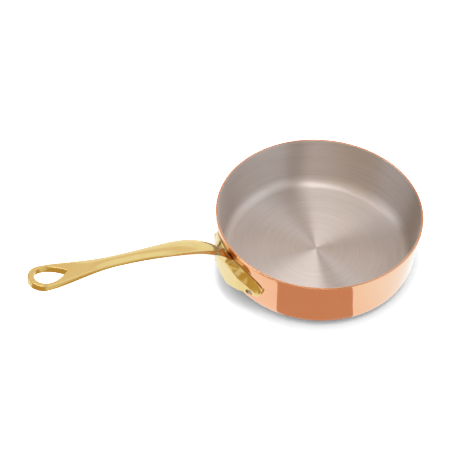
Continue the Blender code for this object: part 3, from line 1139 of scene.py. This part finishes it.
@dataclass
class Stem:
    """The handle's stem with its flat eye. Its upper edge line curves up and then runs straight."""

    profile: Profile
    start: float = 0.0008
    slope: float = 0.245
    rise: float = 0.0217
    root_drop: float = 0.0308
    root_reach: float = 0.0223
    buried: float = 0.0022
    buried_share: float = 0.6
    thickness: float = 0.0045
    root_thickness: float = 0.0022
    keel: float = 0.0062
    eye_thickness: float = 0.0062
    root_half_width: float = 0.0076
    face_start: float = 0.0080
    face_widening: float = 0.0075
    ridge_share: float = 0.06
    grip: Point = (0.0420, 0.0085)
    neck: Point = (0.1130, 0.0053)
    eye: Point = (0.1787, 0.0126)
    tip_half_width: float = 0.00012
    root_pull: Point = (0.40, 0.40)
    grip_pull: Point = (0.28, 0.51)
    neck_pull: Point = (0.46, 0.24)
    rows: tuple[int, int, int, int] = (30, 34, 40, 26)
    crown: float = 0.0020
    crown_rows: int = 16
    edge: float = 0.0008
    edge_of_face: float = 0.6
    lower_edge: float = 0.0009
    least_lower_edge: float = 0.0001
    lower_edge_of_side: float = 0.45
    keel_reach: float = 0.5
    least_half: float = 0.00001
    least_away: float = 0.001
    edge_rows: int = 5
    hole_centre: float = 0.1769
    hole_radius: float = 0.0093
    hole_tip: float = 0.1580
    hole_tip_reach: float = 0.0045
    hole_tip_half_width: float = 0.0048
    hole_shoulder: float = 0.0066
    hole_edge: float = 0.0007
    hole_rows: int = 40
    hole_lift: float = 0.00002
    hole_flare: Point = (1.2, 0.3)

    def height(self, out: float) -> float:
        """Height of the upper edges."""
        straight = self.profile.height + self.rise + self.slope * (out - self.start)
        return straight - self.root_drop * math.exp(-(out - self.start) / self.root_reach)

    def climb(self, out: float) -> float:
        """Slope of the upper edges."""
        fade = math.exp(-(out - self.start) / self.root_reach)
        return self.slope + self.root_drop / self.root_reach * fade

    def put(self, out: float, y: float, up: float) -> Vector:
        """Find a point of the stem.

        Args:
            out: Distance outside the rim of its foot on the edge line.
            y: Distance from the stem's middle.
            up: Distance square to the edge line.

        Returns:
            The point.
        """
        square = Vector((self.climb(out), 0.0, 1.0)).normalized()
        foot = Vector((-(self.profile.rim_radius + out), y, self.height(out)))
        return foot + square * up

    def outline(self) -> list[Point]:
        """Draw half the plan.

        Returns:
            Distances outside the rim, with the half width at each.
        """
        root = (self.start, self.root_half_width)
        ends = [root, self.grip, self.neck, self.eye]
        pulls = [self.root_pull, self.grip_pull, self.neck_pull]
        line = [root]
        for start, end, pull, count in zip(ends[:-1], ends[1:], pulls, self.rows):
            length = end[0] - start[0]
            first = (start[0] + pull[0] * length, start[1])
            last = (end[0] - pull[1] * length, end[1])
            line += [bezier((start, first, last, end), i / count) for i in range(1, count + 1)]
        for sine, cosine in quarter_turn(self.rows[3])[1:-1]:
            line.append((self.eye[0] + self.eye[1] * sine, self.eye[1] * cosine))
        line.append((self.eye[0] + self.eye[1], self.tip_half_width))
        return line

    @staticmethod
    def outward(line: Sequence[Point], closed: bool = False) -> list[Point]:
        """Directions square to a plane line, to the side that its points' second numbers grow to.

        Args:
            line: The points.
            closed: Whether the last point joins the first.

        Returns:
            One direction for each point.
        """
        directions = []
        count = len(line)
        for i in range(count):
            before = line[(i - 1) % count if closed else max(i - 1, 0)]
            after = line[(i + 1) % count if closed else min(i + 1, count - 1)]
            dx, dy = after[0] - before[0], after[1] - before[1]
            length = math.hypot(dx, dy)
            directions.append((-dy / length, dx / length))
        return directions

    def face_share(self, out: float) -> float:
        """Share of the width that the top face keeps. At the root it narrows to a ridge."""
        widening = 1.0 - math.exp(-max(out - self.face_start, 0.0) / self.face_widening)
        return lerp(self.ridge_share, 1.0, widening)

    def section(
        self, half: float, face: float, edge: float, low: float, thickness: float
    ) -> list[Triple]:
        """Find the side of the section, from the top edge to the bottom one.

        Args:
            half: Half width of the whole section.
            face: Half width of its top face.
            edge: Radius of the top edge.
            low: Radius of the bottom edge.
            thickness: Distance between the two.

        Returns:
            For each point, the half width it is measured from, the offset and the height.
        """
        side = []
        for sine, cosine in quarter_turn(self.edge_rows)[1:]:
            side.append((face, edge * (sine - 1.0), edge * (cosine - 1.0)))
        for sine, cosine in quarter_turn(self.edge_rows)[:-1]:
            side.append((half, low * (cosine - 1.0), low * (1.0 - sine) - thickness))
        return side

    def ring(self, point: Point, outward: Point) -> Ring:
        """One ring of the stem.

        Args:
            point: Place on the outline.
            outward: Direction square to the outline there.

        Returns:
            The ring's points, clockwise seen from the pan.
        """
        out, half = point
        root = ease(1.0 - (out - self.start) / self.root_reach)
        flat = ease((out - self.neck[0]) / (self.hole_tip - self.neck[0]))
        thickness = lerp(lerp(self.thickness, self.eye_thickness, flat), self.root_thickness, root)
        crown = self.crown * (1.0 - flat) * (1.0 - root)
        face = self.face_share(out) * half
        edge = min(self.edge, self.edge_of_face * face / max(outward[1], self.least_away))
        side_share = self.lower_edge_of_side * (thickness - self.edge)
        low = min(self.lower_edge, side_share + self.least_lower_edge)
        row_out = out - outward[0] * edge
        row_half = max(face - outward[1] * edge, self.least_half)
        top = []
        for i in range(self.crown_rows + 1):
            side = lerp(-1.0, 1.0, i / self.crown_rows)
            top.append(self.put(row_out, side * row_half, crown * (1.0 - side * side)))
        right = []
        left = []
        for base, offset, up in self.section(half, face, edge, low, thickness):
            at = out + outward[0] * offset
            y = max(base + outward[1] * offset, self.least_half)
            right.append(self.put(at, y, up))
            left.append(self.put(at, -y, up))
        under_out = out - outward[0] * low
        under_half = max(half - outward[1] * low, self.least_half)
        under = []
        for i in range(self.crown_rows + 1):
            side = lerp(1.0, -1.0, i / self.crown_rows)
            deep = thickness + self.keel * root * ease((1.0 - abs(side)) / self.keel_reach)
            under.append(self.put(under_out, side * under_half, -deep))
        return top + right + under + left[::-1]

    def mesh(self) -> bpy.types.Mesh:
        """Build the stem, with its root buried in the flange.

        Returns:
            The mesh.
        """
        line = self.outline()
        rings = [self.ring(point, away) for point, away in zip(line, self.outward(line))]
        along = Vector((-1.0, 0.0, self.climb(self.start))).normalized()
        ridge = self.put(self.start, 0.0, 0.0)
        end = ridge - along * self.buried
        buried = [end + (point - ridge) * self.buried_share for point in rings[0]]
        return lofted("stem", [buried] + rings)

    def hole_line(self) -> list[Point]:
        """Draw the teardrop of the hanging hole.

        Returns:
            Distances outside the rim, with the offset to a side at each.
        """
        centre = self.hole_centre
        tip = (self.hole_tip, 0.0)
        flank = (self.hole_tip + self.hole_tip_reach, self.hole_tip_half_width)
        shoulder = (centre - self.hole_shoulder, self.hole_radius)
        ends = (tip, flank, shoulder, (centre, self.hole_radius))
        side = [bezier(ends, i / self.hole_rows) for i in range(self.hole_rows)]
        for sine, cosine in quarter_turn(self.hole_rows):
            side.append((centre + self.hole_radius * sine, self.hole_radius * cosine))
        return side + [(x, -y) for x, y in side[-2:0:-1]]

    def hole_cutter(self) -> bpy.types.Mesh:
        """Make the cutter of the hanging hole, flared at both faces to round the hole's edges.

        Returns:
            The cutter.
        """
        line = self.hole_line()
        away = self.outward(line, closed=True)
        wide, high = self.hole_flare
        levels = [(wide * self.hole_edge, high * self.hole_edge + self.hole_lift)]
        for sine, cosine in quarter_turn(self.edge_rows):
            offset = self.hole_edge * (1.0 - sine)
            levels.append((offset, self.hole_lift - self.hole_edge * (1.0 - cosine)))
        levels += [(offset, -self.eye_thickness - up) for offset, up in reversed(levels)]
        rings = []
        for offset, up in levels:
            ring = []
            for (out, y), (away_out, away_y) in zip(line, away):
                ring.append(self.put(out + away_out * offset, y + away_y * offset, up))
            rings.append(ring)
        return lofted("hanging_hole", rings)


@dataclass
class Handle:
    """The cast brass handle: flange and stem in one casting, with a fillet where they meet."""

    profile: Profile
    flange: Flange
    stem: Stem
    finish: CastBrass = field(default_factory=CastBrass)
    fillet: float = 0.0022
    fillet_passes: int = 14
    fillet_strength: float = 0.5
    fillet_edge: float = 0.0005

    def blend(self, mesh: bpy.types.Mesh, parts: Sequence[bpy.types.Mesh]) -> bpy.types.Mesh:
        """Soften the joint line of two joined forms into a fillet.

        Args:
            mesh: The joined mesh, which is changed.
            parts: The two forms it was joined from.

        Returns:
            The same mesh.
        """
        trees = []
        for part in parts:
            points = [vert.co.copy() for vert in part.vertices]
            faces = [tuple(face.vertices) for face in part.polygons]
            trees.append(BVHTree.FromPolygons(points, faces))
        body = bmesh.new()
        body.from_mesh(mesh)

        def nearness(vert: bmesh.types.BMVert) -> float:
            """Share of the fillet at a point, from 0 outside it to 1 on the joint line."""
            far = max(tree.find_nearest(vert.co)[3] for tree in trees)
            return ease(1.0 - far / self.fillet)

        near = {vert for vert in body.verts if nearness(vert) > 0.0}
        faces = [face for face in body.faces if all(vert in near for vert in face.verts)]
        bmesh.ops.triangulate(body, faces=faces)
        near = {vert for vert in body.verts if nearness(vert) > 0.0}
        edges = [
            edge for edge in body.edges
            if all(vert in near for vert in edge.verts) and edge.calc_length() > self.fillet_edge
        ]
        bmesh.ops.subdivide_edges(body, edges=edges, cuts=1)
        body.verts.ensure_lookup_table()
        shares = {vert: nearness(vert) for vert in body.verts}
        moved = {vert: share for vert, share in shares.items() if share > 0.0}
        for _ in range(self.fillet_passes):
            places = {}
            for vert, share in moved.items():
                middle = Vector()
                for edge in vert.link_edges:
                    middle += edge.other_vert(vert).co
                middle /= len(vert.link_edges)
                places[vert] = vert.co.lerp(middle, share * self.fillet_strength)
            for vert, place in places.items():
                vert.co = place
        body.to_mesh(mesh)
        body.free()
        return tidied(mesh)

    def build(self, cutters: Callable[[], list[bpy.types.Mesh]]) -> None:
        """Build the casting.

        Args:
            cutters: Makes the cutters of the rivet holes.
        """
        flange = self.flange.mesh()
        stem = self.stem.mesh()
        parts = [flange.copy(), stem.copy()]
        joined = self.blend(cut(flange, [stem], "UNION"), parts)
        mesh = cut(joined, [self.stem.hole_cutter(), *cutters()])
        mesh.materials.clear()
        mesh.materials.append(self.finish.material())
        show("cast_handle", mesh, Slot.BRASS, "brass_handle")


@dataclass(frozen=True)
class HungCard:
    """A card that stands or hangs, seen only in the metal.

    Its place and the way it faces are given as the camera sees them.
    """

    name: str
    colour: Colour
    size: Point
    place: Triple
    facing: Triple


@dataclass(frozen=True)
class FloorCard:
    """A card on the floor, seen only in the metal, with its corners as the camera sees them.

    "Edge" is its colour at the left, where that is another one, and "fade" says where that colour
    ends and how far the two blend. Cards that overlap lie in layers.
    """

    name: str
    colour: Colour
    corners: tuple[Point, ...]
    layer: int = 1
    edge: Colour | None = None
    fade: Point = (0.0, 1.0)


WING_BROWN: Colour = (0.58, 0.38, 0.12)
TO_WING: Triple = (0.75, 0.65, 0.0)

HUNG_CARDS = (
    HungCard("back_card", (0.90, 0.78, 0.69), (3.6, 1.0), (0.5, 1.40, 1.65), (-0.3, -1.0, -1.0)),
    HungCard("ceiling_card", (0.50, 0.42, 0.36), (2.7, 2.6), (-0.45, -0.2, 2.0), (0.0, 0.0, -1.0)),
    HungCard("near_card", (0.45, 0.36, 0.29), (3.4, 1.7), (-0.70, -1.60, 1.05), (0.0, 1.0, 0.0)),
    HungCard("left_card", (0.19, 0.14, 0.09), (1.3, 2.4), (-1.60, 1.50, 1.25), (1.0, -0.95, 0.0)),
    HungCard("wing_card", WING_BROWN, (0.60, 0.28), (-0.378, -0.440, 0.14), TO_WING),
    HungCard("wing_high", (0.80, 0.72, 0.60), (0.80, 0.50), (-0.39, -0.45, 0.53), TO_WING),
)

FLOOR_CARDS = (
    FloorCard("wing_floor", WING_BROWN, (
        (-0.075, -0.134), (-0.080, -0.230), (-0.150, -0.560), (-0.570, -0.300), (-0.300, -0.110),
        (-0.128, -0.085), (-0.112, -0.088), (-0.106, -0.095), (-0.100, -0.1015), (-0.094, -0.107),
        (-0.088, -0.113), (-0.0825, -0.1225),
    )),
    FloorCard("right_card", (1.04, 1.24, 1.36), (
        (0.030, -0.400), (0.240, -0.400), (0.240, 0.140), (0.050, 0.140), (0.085, 0.020),
        (0.080, -0.060), (0.045, -0.086), (0.030, -0.092),
    ), edge=(1.05, 1.05, 1.05), fade=(0.03, 0.05)),
    FloorCard("front_card", (0.66, 0.43, 0.31), (
        (-0.042, -0.086), (0.028, -0.086), (0.048, -0.118), (0.054, -0.135), (0.051, -0.146),
        (0.040, -0.153), (-0.068, -0.153), (-0.087, -0.147), (-0.093, -0.138), (-0.083, -0.124),
    ), layer=2),
    FloorCard("stem_card", (0.54, 0.41, 0.22), (
        (-0.005, -0.180), (-0.005, -0.240), (-0.075, -0.300), (-0.200, -0.290), (-0.200, -0.200),
        (-0.120, -0.165), (-0.095, -0.165), (-0.050, -0.175),
    ), layer=2, edge=(0.82, 0.74, 0.54), fade=(-0.07, 0.04)),
)


@dataclass
class Studio:
    """Floor, world, lamp, cards and camera. Places are given as the camera sees them: X to the
    right, Y away from it and Z up, and are turned into the part's frame."""

    turn: float = math.radians(-30.0)
    lens: float = 82.617
    sensor_width: float = 36.0
    clip: Point = (0.05, 20.0)
    camera_place: Triple = (-0.42781, -0.56848, 0.79382)
    camera_pitch: float = 0.8254781
    lamp_place: Triple = (-0.05, 0.10, 1.25)
    lamp_aim: Triple = (0.0, 0.0, 0.03)
    lamp_size: Point = (0.20, 1.20)
    lamp_radiance: float = 4.2
    floor_size: float = 6.0
    ambient: float = 0.4
    floor_colour: float = 0.88
    floor_seen: float = 3.3
    floor_in_metal: float = 1.05
    card_lift: float = 0.0002

    def placed(self, x: float, y: float, z: float) -> Vector:
        """Turn a place from the camera's directions into the part's frame."""
        return Matrix.Rotation(self.turn, 3, "Z") @ Vector((x, y, z))

    def camera(self) -> None:
        """Make the camera at the photograph's angle."""
        data = bpy.data.cameras.new("camera")
        data.lens = self.lens
        data.sensor_width = self.sensor_width
        data.clip_start, data.clip_end = self.clip
        camera = bpy.data.objects.new("camera", data)
        camera.location = self.camera_place
        camera.rotation_euler = (math.pi / 2 - self.camera_pitch, 0.0, self.turn)
        bpy.context.scene.collection.objects.link(camera)
        bpy.context.scene.camera = camera

    def paths(self, tree: Tree) -> tuple[Link, Link, Link]:
        """Tell the kinds of rays apart.

        Args:
            tree: The tree to add to.

        Returns:
            Masks of the rays that the camera sends, of those that it sees in a gloss or through
            glass, and of those that light a dull surface straight on.
        """
        camera = tree.add("ShaderNodeLightPath", output="Is Camera Ray")
        through = tree.other(camera, "Is Transmission Ray")
        gloss = (tree.other(camera, "Is Glossy Ray") + through).clamped()
        dull = tree.other(camera, "Diffuse Depth").clamped()
        return camera, gloss * (1.0 - dull), dull * (1.0 - gloss)

    def world(self) -> None:
        """Make a plain white world that lights the object softly. What the metal would throw on the
        floor is left out, so that the pan's close shadow stays grey."""
        world = bpy.data.worlds.new("studio")
        bpy.context.scene.world = world
        world.use_nodes = True
        tree = Tree(world.node_tree)
        tree.nodes.nodes.clear()
        camera, gloss, dull = self.paths(tree)
        strength = camera + gloss + dull * self.ambient
        sockets = {"Color": rgba(WHITE), "Strength": strength}
        background = tree.add("ShaderNodeBackground", {}, sockets)
        tree.add("ShaderNodeOutputWorld", {}, {"Surface": background})

    def floor(self) -> None:
        """Make the white floor. It is lighter to the camera, so that only the close shadow shows,
        and plain white in the metal's reflections."""
        shader = Shader("white_floor")
        camera, gloss, dull = self.paths(shader)
        level = camera * self.floor_seen + dull * self.floor_colour
        lit = shader.add("ShaderNodeBsdfDiffuse", {}, {"Color": level})
        sockets = {"Color": rgba(WHITE), "Strength": self.floor_in_metal}
        white = shader.add("ShaderNodeEmission", {}, sockets)
        surface = shader.add("ShaderNodeMixShader", {}, {0: gloss, 1: lit, 2: white})
        shader.add("ShaderNodeOutputMaterial", {}, {"Surface": surface})
        half = 0.5 * self.floor_size
        corners = [(-half, -half), (half, -half), (half, half), (-half, half)]
        self.sheet("floor", corners, Vector(), shader)

    def sheet(
        self, name: str, corners: Sequence[Point], place: Vector, shader: Shader,
        facing: Vector | None = None,
    ) -> bpy.types.Object:
        """Make a flat sheet that isn't part of the object.

        Args:
            name: Name of the sheet.
            corners: Its corners in its own plane.
            place: Where its origin goes.
            shader: Its material.
            facing: The way it faces, which is up when not given.

        Returns:
            The sheet.
        """
        mesh = bpy.data.meshes.new(name)
        mesh.from_pydata([(x, y, 0.0) for x, y in corners], [], [tuple(range(len(corners)))])
        mesh.materials.append(shader.material)
        sheet = bpy.data.objects.new(name, mesh)
        sheet.location = place
        if facing:
            sheet.rotation_euler = facing.to_track_quat("Z", "Y").to_euler()
        bpy.context.scene.collection.objects.link(sheet)
        return sheet

    def lamp(self) -> None:
        """Hang the soft box over the pan. Its radiance is how bright its face is against white."""
        data = bpy.data.lights.new("overhead", "AREA")
        data.shape = "RECTANGLE"
        data.size, data.size_y = self.lamp_size
        data.energy = self.lamp_radiance * math.pi * data.size * data.size_y
        lamp = bpy.data.objects.new("overhead", data)
        lamp.location = self.placed(*self.lamp_place)
        toward = self.placed(*self.lamp_aim) - lamp.location
        lamp.rotation_euler = toward.to_track_quat("-Z", "Y").to_euler()
        lamp.visible_camera = False
        bpy.context.scene.collection.objects.link(lamp)

    def glow(self, card: HungCard | FloorCard) -> Shader:
        """Make the material of a card, which is what it shows to the metal.

        Args:
            card: The card.

        Returns:
            The material.
        """
        shader = Shader(card.name)
        tint: Link | tuple[float, ...] = rgba(card.colour)
        if isinstance(card, FloorCard) and card.edge:
            start, length = card.fade
            passed = ((shader.place()[1] - start) / length).clamped()
            tint = shader.mix(passed, card.edge, card.colour)
        strength = self.paths(shader)[1]
        glow = shader.add("ShaderNodeEmission", {}, {"Color": tint, "Strength": strength})
        shader.add("ShaderNodeOutputMaterial", {}, {"Surface": glow})
        return shader

    def lay(self, card: HungCard | FloorCard) -> None:
        """Put up a card, or lay it on the floor.

        Args:
            card: The card.
        """
        shader = self.glow(card)
        if isinstance(card, HungCard):
            x, y = 0.5 * card.size[0], 0.5 * card.size[1]
            corners = [(-x, -y), (x, -y), (x, y), (-x, y)]
            facing = self.placed(*card.facing)
            sheet = self.sheet(card.name, corners, self.placed(*card.place), shader, facing)
        else:
            place = Vector((0.0, 0.0, card.layer * self.card_lift))
            sheet = self.sheet(card.name, card.corners, place, shader)
            sheet.rotation_euler = (0.0, 0.0, self.turn)
        sheet.visible_camera = False
        sheet.visible_diffuse = False
        sheet.visible_shadow = False
        sheet.visible_transmission = False

    def build(self) -> None:
        """Build the studio."""
        bpy.context.scene.view_settings.view_transform = "Standard"
        self.camera()
        self.world()
        self.floor()
        self.lamp()
        for card in HUNG_CARDS + FLOOR_CARDS:
            self.lay(card)


def main() -> None:
    """Build the pan and its studio."""
    logging.basicConfig(level=logging.INFO, format="%(name)s: %(message)s")
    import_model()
    profile = Profile()
    rivets = Rivets(profile)
    PanBody(profile).build(rivets.cutters)
    Handle(profile, Flange(profile), Stem(profile)).build(rivets.cutters)
    rivets.build()
    Studio().build()


if __name__ == "__main__":
    main()
